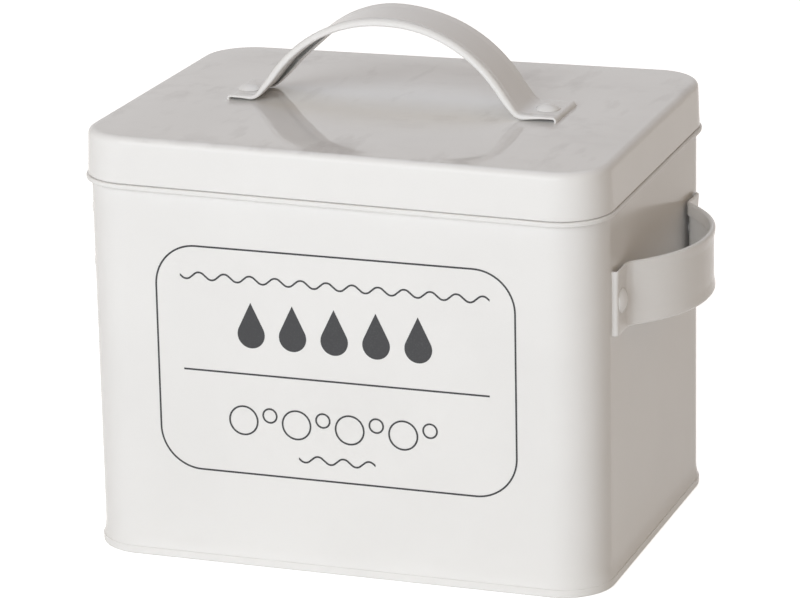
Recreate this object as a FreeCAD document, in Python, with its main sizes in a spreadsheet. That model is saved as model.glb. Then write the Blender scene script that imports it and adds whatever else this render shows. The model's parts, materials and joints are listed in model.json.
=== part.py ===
"""Detergent storage box: a coated sheet-steel tin with a lift-off lid and strap handles.

Millimetres. The origin is the centre of the foot, +X runs along the long side,
+Y to the back and +Z up. The printed front faces -Y.

Every driving size is a cell of the sheet "Sizes", and the sketches, pads and
placements are bound to those cells. Sections of folded sheet are drawn with the
distance outwards from the wall's outer face as their first coordinate.
"""

import FreeCAD, Part
import math
import os

import Sketcher

SIZES = {
    # The tin
    "body_width": 240,
    "body_depth": 178,
    "corner_radius": 22,
    "gauge": 0.5,
    "hem_gap": 0.3,
    "hem_depth": 4,
    # Double seam round the foot
    "fold_gap": 0.3,
    "panel_gap": 0.1,
    "seam_height": 2.8,
    "seam_round": 1.0,
    "panel_recess": 3.3,
    "panel_bend": 1.0,
    "panel_lap": 2,
    # Rest bead and neck
    "bead_level": 171.3,
    "bead_reach": 2.5,
    "bead_height": 2.8,
    "bead_root": 0.4,
    "neck_rise": 18,
    # Lid
    "lid_clearance": 0.35,
    "rest_gap": 0.35,
    "lid_height": 21.1,
    "lid_flare": 0.8,
    "lid_edge_radius": 3.3,
    # Strap handles
    "strap_gauge": 0.5,
    "strap_gap": 0.5,
    "strap_dish": 0.3,
    "strap_crest": 1.0,
    "strap_slope": 3.6,
    "strap_flow": 6,
    "strap_flange": 6,
    "foot_rise": 2.8,
    "lip_bend": 1.8,
    "crown_flat": 1,
    "lid_strap_reach": 78.5,
    "lid_strap_rise": 42.3,
    "lid_strap_width": 30.6,
    "lid_foot_length": 13.1,
    "lid_foot_bend": 5,
    "lid_leg_angle": 55,
    "side_strap_reach": 65.7,
    "side_strap_rise": 25.8,
    "side_strap_width": 29.4,
    "side_foot_length": 13.4,
    "side_foot_bend": 7,
    "side_leg_angle": 48,
    "side_strap_level": 129.3,
    # Rivets
    "rivet_inset": 7.4,
    "head_radius": 5.6,
    "head_height": 2.4,
    "head_rim": 0.3,
    "shank_radius": 2,
    "shank_gap": 0.1,
    "tail_radius": 3.4,
    "tail_height": 1.0,
    "tail_round": 0.5,
    # Printed ink
    "ink": 0.12,
    "line_width": 0.8,
    "frame_width": 167,
    "frame_height": 104,
    "frame_level": 95.6,
    "frame_round": 19,
    "rule_length": 143,
    "rule_level": 90.3,
    "drop_count": 5,
    "drop_pitch": 19.5,
    "drop_radius": 6.4,
    "drop_height": 21,
    "drop_level": 102.5,
    "bubble_count": 4,
    "bubble_pitch": 25,
    "bubble_large": 7,
    "bubble_small": 3.6,
    "bubble_level": 68.5,
    "bubble_lift": 3.2,
    "wave_length": 12,
    "wave_height": 5,
    "wave_round": 3,
    "wave_count": 12,
    "wave_level": 134,
    "ripple_count": 3,
    "ripple_level": 53,
}

# Shared lengths, as expressions on the cells
GAUGE = "Sizes.gauge"
HEM = "(2 * Sizes.gauge + Sizes.hem_gap)"
SEAM_REACH = "3 * (Sizes.gauge + Sizes.fold_gap)"
BEAD_TOP = "(Sizes.bead_level + Sizes.bead_height / 2)"
BEAD_FOOT = "(Sizes.bead_level - Sizes.bead_height / 2)"
BEAD_NOSE = "(Sizes.bead_reach - Sizes.bead_height / 2)"
RIM_TOP = "(Sizes.bead_level + Sizes.neck_rise)"
SKIRT_FOOT = "(Sizes.bead_level + Sizes.bead_height / 2 + Sizes.rest_gap)"
LID_TOP = "(Sizes.bead_level + Sizes.bead_height / 2 + Sizes.rest_gap + Sizes.lid_height)"
SKIRT_LOW_OUT = "(Sizes.lid_clearance + 2 * Sizes.gauge + Sizes.hem_gap)"
SKIRT_TOP_OUT = "(Sizes.lid_clearance + 2 * Sizes.gauge + Sizes.hem_gap - Sizes.lid_flare)"
PANEL_OUT = "(-Sizes.gauge - Sizes.panel_gap)"
PANEL_IN = "(-2 * Sizes.gauge - Sizes.panel_gap)"
STRAP_EDGE = "(2 * Sizes.strap_gauge + Sizes.strap_gap)"
RIVET_SEAT = "(Sizes.foot_rise - Sizes.strap_dish)"
ROLL = "tangent"

doc = FreeCAD.newDocument("detergent_box")


def fill_sheet():
    """Write every driving size into the sheet, one named cell each."""
    sheet = doc.addObject("Spreadsheet::Sheet", "Sizes")
    for row, (name, size) in enumerate(SIZES.items(), start=1):
        sheet.set(f"A{row}", name)
        sheet.set(f"B{row}", str(size))
        sheet.setAlias(f"B{row}", name)
    doc.recompute()


def new_body(name):
    """Start the body of one sheet-metal piece."""
    body = doc.addObject("PartDesign::Body", name)
    body.Label = name
    return body


def new_sketch(body, name, role):
    """Add a sketch on one of the body's own origin planes."""
    sketch = body.newObject("Sketcher::SketchObject", name)
    planes = {feature.Role: feature for feature in body.Origin.OriginFeatures}
    sketch.AttachmentSupport = [(planes[role], "")]
    sketch.MapMode = "FlatFace"
    return sketch


def constrain(sketch, kind, *ends, guess=None, to=None):
    """Add one constraint, bound to an expression where one is given."""
    arguments = list(ends) if guess is None else [*ends, guess]
    index = sketch.addConstraint(Sketcher.Constraint(kind, *arguments))
    if to is not None:
        sketch.setExpression(f"Constraints[{index}]", str(to))


def bound_point(sketch, across, up):
    """Add a construction point whose two distances from the origin follow expressions."""
    point = sketch.addGeometry(Part.Point(FreeCAD.Vector(1, 1, 0)), True)
    constrain(sketch, "DistanceX", -1, 1, point, 1, guess=1.0, to=across)
    constrain(sketch, "DistanceY", -1, 1, point, 1, guess=1.0, to=up)
    return point


def corner_arc(corner, before, after, radius):
    """Return an arc that rounds a corner, and whether it runs clockwise."""
    to_before = (before - corner).normalize()
    to_after = (after - corner).normalize()
    half_angle = to_before.getAngle(to_after) / 2
    start = corner + to_before * (radius / math.tan(half_angle))
    end = corner + to_after * (radius / math.tan(half_angle))
    centre = corner + (to_before + to_after).normalize() * (radius / math.sin(half_angle))
    clockwise = to_before.cross(to_after).z > 0
    return arc_between(start, end, centre, clockwise), clockwise


def arc_between(start, end, centre, clockwise):
    """Return the arc round a centre from start to end, drawn the given way round."""
    first, last = (end, start) if clockwise else (start, end)
    circle = Part.Circle(centre, FreeCAD.Vector(0, 0, 1), (start - centre).Length)
    first_angle = math.atan2(first.y - centre.y, first.x - centre.x)
    last_angle = math.atan2(last.y - centre.y, last.x - centre.x)
    if last_angle <= first_angle:
        last_angle += 2 * math.pi
    return Part.ArcOfCircle(circle, first_angle, last_angle)


def draw_outline(sketch, corners, closed=True):
    """Draw lines and arcs through corners whose places follow expressions.

    A corner is (across, up), (across, up, radius) where it is rounded, or
    (across, up, None, bulge) where an arc leaves it for the next corner: bulge is
    ROLL for a half turn that carries the line on, or the arc's radius.
    """
    corners = [(*corner, None, None)[:4] for corner in corners]
    points = [bound_point(sketch, across, up) for across, up, _, _ in corners]
    sketch.recompute()
    places = [sketch.getPoint(point, 1) for point in points]
    count = len(corners)
    span = count if closed else count - 1

    rounds = {}
    for index, (_, _, radius, _) in enumerate(corners):
        if radius is None:
            continue
        before, here, after = (places[(index + step) % count] for step in (-1, 0, 1))
        room = min((before - here).Length, (after - here).Length)
        guess = 0.3 * room * math.tan((before - here).getAngle(after - here) / 2)
        rounds[index] = (*corner_arc(here, before, after, guess), guess, radius)

    edges = []
    for index in range(span):
        following = (index + 1) % count
        start, end = places[index], places[following]
        bulge = corners[index][3]
        if bulge is None:
            edges.append(draw_run(sketch, start, end, rounds.get(index), rounds.get(following)))
        else:
            previous = places[index - 1]
            edges.append(draw_bulge(sketch, previous, start, end, bulge))

    for index in range(count):
        arriving = edges[index - 1] if closed or index > 0 else None
        leaving = edges[index] if index < span else None
        if index in rounds:
            join_round(sketch, points[index], arriving, leaving, rounds[index])
        else:
            join_plain(sketch, points[index], arriving, leaving, corners[index][3] == ROLL)


def draw_run(sketch, start, end, start_round, end_round):
    """Draw the straight run between two corners, short of their rounds."""
    if start_round:
        arc, clockwise = start_round[:2]
        start = arc.StartPoint if clockwise else arc.EndPoint
    if end_round:
        arc, clockwise = end_round[:2]
        end = arc.EndPoint if clockwise else arc.StartPoint
    line = sketch.addGeometry(Part.LineSegment(start, end), False)
    return line, 1, 2


def draw_bulge(sketch, previous, start, end, bulge):
    """Draw an arc between two corners: a half turn, or one bound to a radius."""
    chord = end - start
    middle = (start + end) * 0.5
    if bulge == ROLL:
        clockwise = (start - previous).cross(chord).z < 0
        arc = arc_between(start, end, middle, clockwise)
        return sketch.addGeometry(arc, False), 2 if clockwise else 1, 1 if clockwise else 2
    inwards = FreeCAD.Vector(chord.y, -chord.x, 0).normalize()
    centre = middle + inwards * chord.Length
    arc = sketch.addGeometry(arc_between(start, end, centre, True), False)
    constrain(sketch, "Radius", arc, guess=(start - centre).Length, to=bulge)
    return arc, 2, 1


def join_plain(sketch, point, arriving, leaving, rolling):
    """Join two edges at a sharp corner, tangent where a half turn carries on."""
    if arriving:
        constrain(sketch, "Coincident", arriving[0], arriving[2], point, 1)
    if leaving and rolling:
        constrain(sketch, "Tangent", arriving[0], arriving[2], leaving[0], leaving[1])
    elif leaving:
        constrain(sketch, "Coincident", leaving[0], leaving[1], point, 1)


def join_round(sketch, point, arriving, leaving, rounding):
    """Round a corner: both runs aim at it, and an arc of the bound radius meets both."""
    arc_shape, clockwise, guess, radius = rounding
    arc = sketch.addGeometry(arc_shape, False)
    first, last = (2, 1) if clockwise else (1, 2)
    constrain(sketch, "PointOnObject", point, 1, arriving[0])
    constrain(sketch, "PointOnObject", point, 1, leaving[0])
    constrain(sketch, "Tangent", arriving[0], arriving[2], arc, first)
    constrain(sketch, "Tangent", arc, last, leaving[0], leaving[1])
    constrain(sketch, "Radius", arc, guess=guess, to=radius)


def draw_circle(sketch, across, up, radius):
    """Draw a circle whose centre and radius follow expressions."""
    point = bound_point(sketch, across, up)
    sketch.recompute()
    centre = sketch.getPoint(point, 1)
    circle = sketch.addGeometry(Part.Circle(centre, FreeCAD.Vector(0, 0, 1), 1), False)
    constrain(sketch, "Coincident", circle, 3, point, 1)
    constrain(sketch, "Radius", circle, guess=1.0, to=radius)


def rounded_rectangle(sketch, width, height, radius, middle="0"):
    """Draw a rounded rectangle that starts at the middle of its right side."""
    right, left = f"({width}) / 2", f"-({width}) / 2"
    top, foot = f"{middle} + ({height}) / 2", f"{middle} - ({height}) / 2"
    corners = [
        (right, middle),
        (right, top, radius),
        (left, top, radius),
        (left, foot, radius),
        (right, foot, radius),
    ]
    draw_outline(sketch, corners)


def plan_outline(sketch, outwards="0"):
    """Draw the tin's rounded plan, a distance outwards from the wall's outer face."""
    rounded_rectangle(
        sketch,
        f"Sizes.body_width + 2 * ({outwards})",
        f"Sizes.body_depth + 2 * ({outwards})",
        f"Sizes.corner_radius + ({outwards})",
    )


def sweep(body, name, section_role, section, path):
    """Carry a closed section along a path sketch."""
    profile = new_sketch(body, f"{name}_section", section_role)
    draw_outline(profile, section)
    pipe = body.newObject("PartDesign::AdditivePipe", name)
    pipe.Profile = profile
    pipe.Spine = (path, [])
    profile.Visibility = False
    return pipe


def sweep_round_plan(body, name, section):
    """Carry a section, given outwards and up, round the tin's plan."""
    path = new_sketch(body, f"{name}_path", "XY_Plane")
    plan_outline(path)
    outwards = [(f"Sizes.body_width / 2 + ({corner[0]})", *corner[1:]) for corner in section]
    return sweep(body, name, "XZ_Plane", outwards, path)


def pad(body, sketch, length):
    """Pad a sketch along its own normal by a bound length."""
    feature = body.newObject("PartDesign::Pad", f"{sketch.Name}_pad")
    feature.Profile = sketch
    feature.setExpression("Length", length)
    return feature


def drill(body, name, role, centres, radius):
    """Cut round holes straight through the body, both ways from the sketch plane."""
    sketch = new_sketch(body, name, role)
    for across, up in centres:
        draw_circle(sketch, across, up, radius)
    pocket = body.newObject("PartDesign::Pocket", f"{name}_cut")
    pocket.Profile = sketch
    pocket.Type = "ThroughAll"
    pocket.Midplane = True
    return pocket


def repeat(body, feature, sketch, count, pitch):
    """Repeat a feature along its sketch's horizontal axis at a bound pitch."""
    pattern = body.newObject("PartDesign::LinearPattern", f"{feature.Name}_row")
    pattern.Originals = [feature]
    pattern.Direction = (sketch, ["H_Axis"])
    pattern.Mode = "Spacing"
    pattern.setExpression("Offset", pitch)
    pattern.setExpression("Occurrences", count)
    body.Tip = pattern
    return pattern


# The tin -------------------------------------------------------------------


def make_body_wall():
    """Wall strip: hook at the foot, rest bead, neck and hemmed rim, swept round the plan."""
    hook_floor = "(Sizes.gauge + Sizes.fold_gap)"
    hook_top = "Sizes.seam_height - Sizes.gauge - Sizes.fold_gap"
    hook_in = "2 * Sizes.fold_gap + Sizes.gauge"
    hook_out = "2 * Sizes.fold_gap + 2 * Sizes.gauge"
    hem_turn = f"{RIM_TOP} - {HEM} / 2"
    hem_foot = f"{RIM_TOP} - Sizes.hem_depth"
    inner_root = "Sizes.bead_root + Sizes.gauge"
    body = new_body("body_wall")
    section = [
        (hook_in, hook_top),
        (hook_in, f"{hook_floor} + {GAUGE}"),
        ("0", f"{hook_floor} + {GAUGE}"),
        ("0", BEAD_FOOT, "Sizes.bead_root"),
        (BEAD_NOSE, BEAD_FOOT, None, ROLL),
        (BEAD_NOSE, BEAD_TOP),
        ("0", BEAD_TOP, "Sizes.bead_root"),
        ("0", hem_turn, None, ROLL),
        (f"-{HEM}", hem_turn),
        (f"-{HEM}", hem_foot),
        (f"{GAUGE} - {HEM}", hem_foot),
        (f"{GAUGE} - {HEM}", hem_turn, None, ROLL),
        (f"-{GAUGE}", hem_turn),
        (f"-{GAUGE}", f"{BEAD_TOP} - {GAUGE}", inner_root),
        (BEAD_NOSE, f"{BEAD_TOP} - {GAUGE}", None, ROLL),
        (BEAD_NOSE, f"{BEAD_FOOT} + {GAUGE}"),
        (f"-{GAUGE}", f"{BEAD_FOOT} + {GAUGE}", inner_root),
        (f"-{GAUGE}", hook_floor, GAUGE),
        (hook_out, hook_floor, GAUGE),
        (hook_out, hook_top),
    ]
    sweep_round_plan(body, "wall_strip", section)
    rivet_place = "Sizes.side_strap_reach - Sizes.rivet_inset"
    centres = [(f"{sign}({rivet_place})", "Sizes.side_strap_level") for sign in ("", "-")]
    drill(body, "side_rivet_holes", "YZ_Plane", centres, "Sizes.shank_radius + Sizes.shank_gap")
    return body


def make_bottom_panel():
    """Raised bottom whose rim is folded round the wall's hook as a double seam."""
    seam_in = f"{SEAM_REACH} - {GAUGE}"
    end_hook_foot = "2 * (Sizes.gauge + Sizes.fold_gap)"
    plate_edge = f"{PANEL_IN} - Sizes.panel_lap"
    inner_round = "Sizes.seam_round - Sizes.gauge"
    body = new_body("bottom_panel")
    section = [
        (plate_edge, "Sizes.panel_recess"),
        (PANEL_OUT, "Sizes.panel_recess", "Sizes.panel_bend"),
        (PANEL_OUT, GAUGE),
        (seam_in, GAUGE, inner_round),
        (seam_in, f"Sizes.seam_height - {GAUGE}", inner_round),
        (f"Sizes.fold_gap + {GAUGE}", f"Sizes.seam_height - {GAUGE}"),
        (f"Sizes.fold_gap + {GAUGE}", end_hook_foot),
        ("Sizes.fold_gap", end_hook_foot),
        ("Sizes.fold_gap", "Sizes.seam_height", GAUGE),
        (SEAM_REACH, "Sizes.seam_height", "Sizes.seam_round"),
        (SEAM_REACH, "0", "Sizes.seam_round"),
        (PANEL_IN, "0", GAUGE),
        (PANEL_IN, f"Sizes.panel_recess - {GAUGE}", f"Sizes.panel_bend - {GAUGE}"),
        (plate_edge, f"Sizes.panel_recess - {GAUGE}"),
    ]
    sweep_round_plan(body, "seam", section)
    plate = new_sketch(body, "panel_plan", "XY_Plane")
    plan_outline(plate, plate_edge)
    plate.setExpression("AttachmentOffset.Base.z", f"Sizes.panel_recess - {GAUGE}")
    pad(body, plate, GAUGE)
    return body


def make_lid():
    """Drawn lid: flat top, rounded edge, slightly flared skirt, lower edge hemmed inwards."""
    hem_turn = f"{SKIRT_FOOT} + {HEM} / 2"
    hem_top = f"{SKIRT_FOOT} + Sizes.hem_depth"
    hem_in = f"{SKIRT_LOW_OUT} - {HEM}"
    plate_edge = f"{SKIRT_TOP_OUT} - Sizes.lid_edge_radius - Sizes.panel_lap"
    body = new_body("lid")
    section = [
        (plate_edge, LID_TOP),
        (SKIRT_TOP_OUT, LID_TOP, "Sizes.lid_edge_radius"),
        (SKIRT_LOW_OUT, hem_turn, None, ROLL),
        (hem_in, hem_turn),
        (hem_in, hem_top),
        (f"{hem_in} + {GAUGE}", hem_top),
        (f"{hem_in} + {GAUGE}", hem_turn, None, ROLL),
        (f"{SKIRT_LOW_OUT} - {GAUGE}", hem_turn),
        (f"{SKIRT_TOP_OUT} - {GAUGE}", f"{LID_TOP} - {GAUGE}", f"Sizes.lid_edge_radius - {GAUGE}"),
        (plate_edge, f"{LID_TOP} - {GAUGE}"),
    ]
    sweep_round_plan(body, "skirt", section)
    plate = new_sketch(body, "lid_plan", "XY_Plane")
    plan_outline(plate, plate_edge)
    plate.setExpression("AttachmentOffset.Base.z", f"{LID_TOP} - {GAUGE}")
    pad(body, plate, GAUGE)
    rivet_place = "Sizes.lid_strap_reach - Sizes.rivet_inset"
    centres = [(f"{sign}({rivet_place})", "0") for sign in ("", "-")]
    drill(body, "lid_rivet_holes", "XY_Plane", centres, "Sizes.shank_radius + Sizes.shank_gap")
    return body


# Strap handles ---------------------------------------------------------------


def strap_section(width, crown):
    """Section of a strap: a slightly dished web with both long edges folded under."""
    turn = f"({width} / 2 - {STRAP_EDGE} / 2)"
    crest = f"({turn} - Sizes.strap_crest)"
    web = f"({turn} - Sizes.strap_crest - Sizes.strap_slope)"
    flange = f"({width} / 2 - Sizes.strap_flange)"
    under = f"{crown} - Sizes.strap_gauge"
    low = f"{crown} - {STRAP_EDGE}"
    flow = "Sizes.strap_flow"
    right = [
        (web, f"{crown} - Sizes.strap_dish", flow),
        (crest, crown, flow),
        (turn, crown, None, ROLL),
        (turn, low),
        (flange, low),
        (flange, f"{low} + Sizes.strap_gauge"),
        (turn, f"{low} + Sizes.strap_gauge", None, ROLL),
        (turn, under),
        (crest, under, flow),
        (web, f"{under} - Sizes.strap_dish", flow),
    ]
    left = [
        (f"-{web}", f"{under} - Sizes.strap_dish", flow),
        (f"-{crest}", under, flow),
        (f"-{turn}", under, None, ROLL),
        (f"-{turn}", f"{low} + Sizes.strap_gauge"),
        (f"-{flange}", f"{low} + Sizes.strap_gauge"),
        (f"-{flange}", low),
        (f"-{turn}", low, None, ROLL),
        (f"-{turn}", crown),
        (f"-{crest}", crown, flow),
        (f"-{web}", f"{crown} - Sizes.strap_dish", flow),
    ]
    return right + left


def make_strap(name, kind):
    """Arched strap on the plane Z = 0: crown, straight legs, flat feet, turned-down tips.

    Its sizes are the ones that start with its kind, which is lid or side.
    """
    reach, rise, width = (f"Sizes.{kind}_strap_{size}" for size in ("reach", "rise", "width"))
    foot, bend, angle = (f"Sizes.{kind}_{size}" for size in ("foot_length", "foot_bend", "leg_angle"))
    foot_corner = f"({reach} - {foot} - {bend} * tan({angle} / 2))"
    shoulder = f"({foot_corner} - ({rise} - Sizes.foot_rise) / tan({angle}))"
    arch_radius = f"({shoulder} - Sizes.crown_flat) / tan({angle} / 2)"
    body = new_body(name)
    path = new_sketch(body, f"{name}_path", "XZ_Plane")
    route = [
        ("0", rise),
        (shoulder, rise, arch_radius),
        (foot_corner, "Sizes.foot_rise", bend),
        (reach, "Sizes.foot_rise", "Sizes.lip_bend"),
        (reach, "0"),
    ]
    draw_outline(path, route, closed=False)
    sweep(body, f"{name}_half", "YZ_Plane", strap_section(width, rise), path)
    centres = [(f"{reach} - Sizes.rivet_inset", "0")]
    hole = drill(body, f"{name}_hole", "XY_Plane", centres, "Sizes.shank_radius + Sizes.shank_gap")
    mirror = body.newObject("PartDesign::Mirrored", f"{name}_both")
    planes = {feature.Role: feature for feature in body.Origin.OriginFeatures}
    mirror.Originals = [body.getObject(f"{name}_half"), hole]
    mirror.MirrorPlane = (planes["YZ_Plane"], [""])
    body.Tip = mirror
    return body


def make_handles():
    """The lid's handle and the two side handles, each set on its own wall."""
    stand_on_lid(make_strap("lid_handle", "lid"))
    for side in ("left", "right"):
        stand_on_side(make_strap(f"side_handle_{side}", "side"), side)


def stand_on_lid(piece, across="0"):
    """Set a piece, modelled on Z = 0, on the lid's top at a place across it."""
    piece.setExpression("Placement.Base.x", across)
    piece.setExpression("Placement.Base.z", LID_TOP)


def stand_on_side(piece, side, along="0"):
    """Turn a piece, modelled on Z = 0, to stand out from one end wall.

    Its length then runs front to back and its width upwards.
    """
    sign = 1 if side == "right" else -1
    turned = FreeCAD.Matrix(0, 0, sign, 0, sign, 0, 0, 0, 0, 1, 0, 0, 0, 0, 0, 1)
    piece.Placement = FreeCAD.Placement(turned)
    piece.setExpression("Placement.Base.x", f"{sign} * Sizes.body_width / 2")
    piece.setExpression("Placement.Base.y", along)
    piece.setExpression("Placement.Base.z", "Sizes.side_strap_level")


# Rivets ----------------------------------------------------------------------


def make_rivet(name):
    """Domed rivet: head on the strap's foot, shank through both, tail set inside the sheet."""
    dome_rise = "(Sizes.head_height - Sizes.head_rim)"
    dome_radius = f"(Sizes.head_radius ^ 2 + {dome_rise} ^ 2) / (2 * {dome_rise})"
    tail_end = "-Sizes.gauge - Sizes.tail_height"
    body = new_body(name)
    section = new_sketch(body, f"{name}_section", "XZ_Plane")
    corners = [
        ("0", f"{RIVET_SEAT} + Sizes.head_height", None, dome_radius),
        ("Sizes.head_radius", f"{RIVET_SEAT} + Sizes.head_rim"),
        ("Sizes.head_radius", RIVET_SEAT),
        ("Sizes.shank_radius", RIVET_SEAT),
        ("Sizes.shank_radius", "-Sizes.gauge"),
        ("Sizes.tail_radius", "-Sizes.gauge"),
        ("Sizes.tail_radius", tail_end, "Sizes.tail_round"),
        ("0", tail_end),
    ]
    draw_outline(section, corners)
    turn = body.newObject("PartDesign::Revolution", f"{name}_turn")
    turn.Profile = section
    turn.ReferenceAxis = (section, ["V_Axis"])
    turn.Angle = 360
    return body


def make_rivets():
    """Two rivets through the lid handle's feet and two through each side handle's."""
    lid_place = "Sizes.lid_strap_reach - Sizes.rivet_inset"
    side_place = "Sizes.side_strap_reach - Sizes.rivet_inset"
    for name, sign in (("left", "-"), ("right", "")):
        stand_on_lid(make_rivet(f"lid_rivet_{name}"), f"{sign}({lid_place})")
    for side in ("left", "right"):
        for name, sign in (("front", "-"), ("rear", "")):
            rivet = make_rivet(f"side_rivet_{side}_{name}")
            stand_on_side(rivet, side, f"{sign}({side_place})")


# Printed ink -----------------------------------------------------------------


def draw_drop(sketch, across):
    """Draw a water drop: a round foot and two straight flanks to a point."""
    radius, height = SIZES["drop_radius"], SIZES["drop_height"]
    foot = bound_point(sketch, across, "Sizes.drop_level + Sizes.drop_radius")
    tip = bound_point(sketch, across, "Sizes.drop_level + Sizes.drop_height")
    sketch.recompute()
    centre, point = sketch.getPoint(foot, 1), sketch.getPoint(tip, 1)
    lean = math.asin(radius / (height - radius))
    out, up = radius * math.cos(lean), radius * math.sin(lean)
    right, left = (centre + FreeCAD.Vector(sign * out, up, 0) for sign in (1, -1))
    belly = sketch.addGeometry(arc_between(left, right, centre, False), False)
    flanks = [Part.LineSegment(right, point), Part.LineSegment(point, left)]
    rising, falling = (sketch.addGeometry(flank, False) for flank in flanks)
    constrain(sketch, "Tangent", belly, 2, rising, 1)
    constrain(sketch, "Tangent", falling, 2, belly, 1)
    constrain(sketch, "Coincident", rising, 2, tip, 1)
    constrain(sketch, "Coincident", falling, 1, tip, 1)
    constrain(sketch, "Coincident", belly, 3, foot, 1)
    constrain(sketch, "Radius", belly, guess=radius, to="Sizes.drop_radius")


def draw_wave(sketch, start, level):
    """Draw one wave of a rounded zigzag line, from one trough to the next."""
    half = "Sizes.wave_length / 2"
    slant = "sqrt(Sizes.wave_length ^ 2 / 4 + Sizes.wave_height ^ 2)"
    thick = f"(Sizes.line_width / 2 * {slant} / ({half}))"
    foot, crest = f"{level} - Sizes.wave_height / 2", f"{level} + Sizes.wave_height / 2"
    quarter = f"{start} + Sizes.wave_length / 4"
    middle = f"{start} + 2 * Sizes.wave_length / 4"
    last = f"{start} + 3 * Sizes.wave_length / 4"
    inner = "Sizes.wave_round - Sizes.line_width / 2"
    outer = "Sizes.wave_round + Sizes.line_width / 2"
    end = f"{start} + Sizes.wave_length"
    corners = [
        (start, f"{level} - {thick}"),
        (quarter, f"{foot} - {thick}", outer),
        (last, f"{crest} - {thick}", inner),
        (end, f"{level} - {thick}"),
        (end, f"{level} + {thick}"),
        (last, f"{crest} + {thick}", outer),
        (quarter, f"{foot} + {thick}", inner),
        (start, f"{level} + {thick}"),
    ]
    draw_outline(sketch, corners)


def draw_bubbles(sketch):
    """Draw the first pair of bubbles, a large ring and a small one beside it."""
    half_row = "(Sizes.bubble_count - 0.5) * Sizes.bubble_pitch / 2"
    pair = [
        (f"-{half_row}", "Sizes.bubble_level", "Sizes.bubble_large"),
        (
            f"Sizes.bubble_pitch / 2 - {half_row}",
            "Sizes.bubble_level + Sizes.bubble_lift",
            "Sizes.bubble_small",
        ),
    ]
    for across, up, radius in pair:
        draw_circle(sketch, across, up, radius)
        draw_circle(sketch, across, up, f"{radius} - Sizes.line_width")


def print_row(body, name, draw, count, pitch):
    """Pad one motif of ink and repeat it along the front."""
    sketch = new_sketch(body, name, "XZ_Plane")
    draw(sketch)
    repeat(body, pad(body, sketch, "Sizes.ink"), sketch, count, pitch)


def make_front_print():
    """Ink on the front: framing line, dividing rule, waves, drops and bubbles."""
    line = "Sizes.line_width"
    body = new_body("front_print")
    body.AllowCompound = True
    frame = new_sketch(body, "frame_line", "XZ_Plane")
    for grow in (f"+ {line}", f"- {line}"):
        rounded_rectangle(
            frame,
            f"Sizes.frame_width {grow}",
            f"Sizes.frame_height {grow}",
            f"Sizes.frame_round {grow} / 2",
            "Sizes.frame_level",
        )
    pad(body, frame, "Sizes.ink")

    rule = new_sketch(body, "dividing_rule", "XZ_Plane")
    ends = ("-Sizes.rule_length / 2", "Sizes.rule_length / 2")
    low, high = f"Sizes.rule_level - {line} / 2", f"Sizes.rule_level + {line} / 2"
    draw_outline(rule, [(ends[0], low), (ends[1], low), (ends[1], high), (ends[0], high)])
    pad(body, rule, "Sizes.ink")

    first_drop = "-(Sizes.drop_count - 1) * Sizes.drop_pitch / 2"
    print_row(
        body,
        "drops",
        lambda sketch: draw_drop(sketch, first_drop),
        "Sizes.drop_count",
        "Sizes.drop_pitch",
    )
    print_row(body, "bubbles", draw_bubbles, "Sizes.bubble_count", "Sizes.bubble_pitch")
    for name, count, level in (
        ("waves", "Sizes.wave_count", "Sizes.wave_level"),
        ("ripples", "Sizes.ripple_count", "Sizes.ripple_level"),
    ):
        start = f"-{count} * Sizes.wave_length / 2"
        print_row(
            body,
            name,
            lambda sketch, start=start, level=level: draw_wave(sketch, start, level),
            count,
            "Sizes.wave_length",
        )
    body.setExpression("Placement.Base.y", "-Sizes.body_depth / 2")
    return body


# Checks and files ------------------------------------------------------------


def write_parts():
    """Check every object and sub-part, then write one STEP file for each sub-part."""
    doc.recompute()
    failed = [o.Name for o in doc.Objects if {"Invalid", "Error"} & set(o.State)]
    if failed:
        raise RuntimeError(f"failed objects: {failed}")
    bodies = [o for o in doc.Objects if o.isDerivedFrom("PartDesign::Body")]
    for body in bodies:
        if body.Shape.isNull() or not body.Shape.isValid():
            raise RuntimeError(f"bad shape: {body.Label}")
    os.makedirs("parts", exist_ok=True)
    for body in bodies:
        body.Shape.exportStep(os.path.join("parts", f"{body.Label}.step"))
        box, solids = body.Shape.BoundBox, len(body.Shape.Solids)
        print(f"{body.Label}: {solids} solid(s), {body.Shape.Volume:.0f} mm3, {box}")


fill_sheet()
make_body_wall()
make_bottom_panel()
make_lid()
make_handles()
make_rivets()
make_front_print()
write_parts()
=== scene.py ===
"""Looks of a detergent storage box: a powder-coated sheet-steel tin with a lift-off lid.

The frame's +X runs along the long side, +Y to the back and +Z up. Sections of folded sheet
are given in millimetres, outwards from the tin's wall or from a strap's face, and a mesh
becomes metres when it is built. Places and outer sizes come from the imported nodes.
"""

from __future__ import annotations

import json
import logging
import math
from dataclasses import dataclass
from enum import Enum
from functools import cached_property
from typing import Any, Callable, Sequence

import bmesh
import bpy
from mathutils import Matrix, Vector, noise

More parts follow.
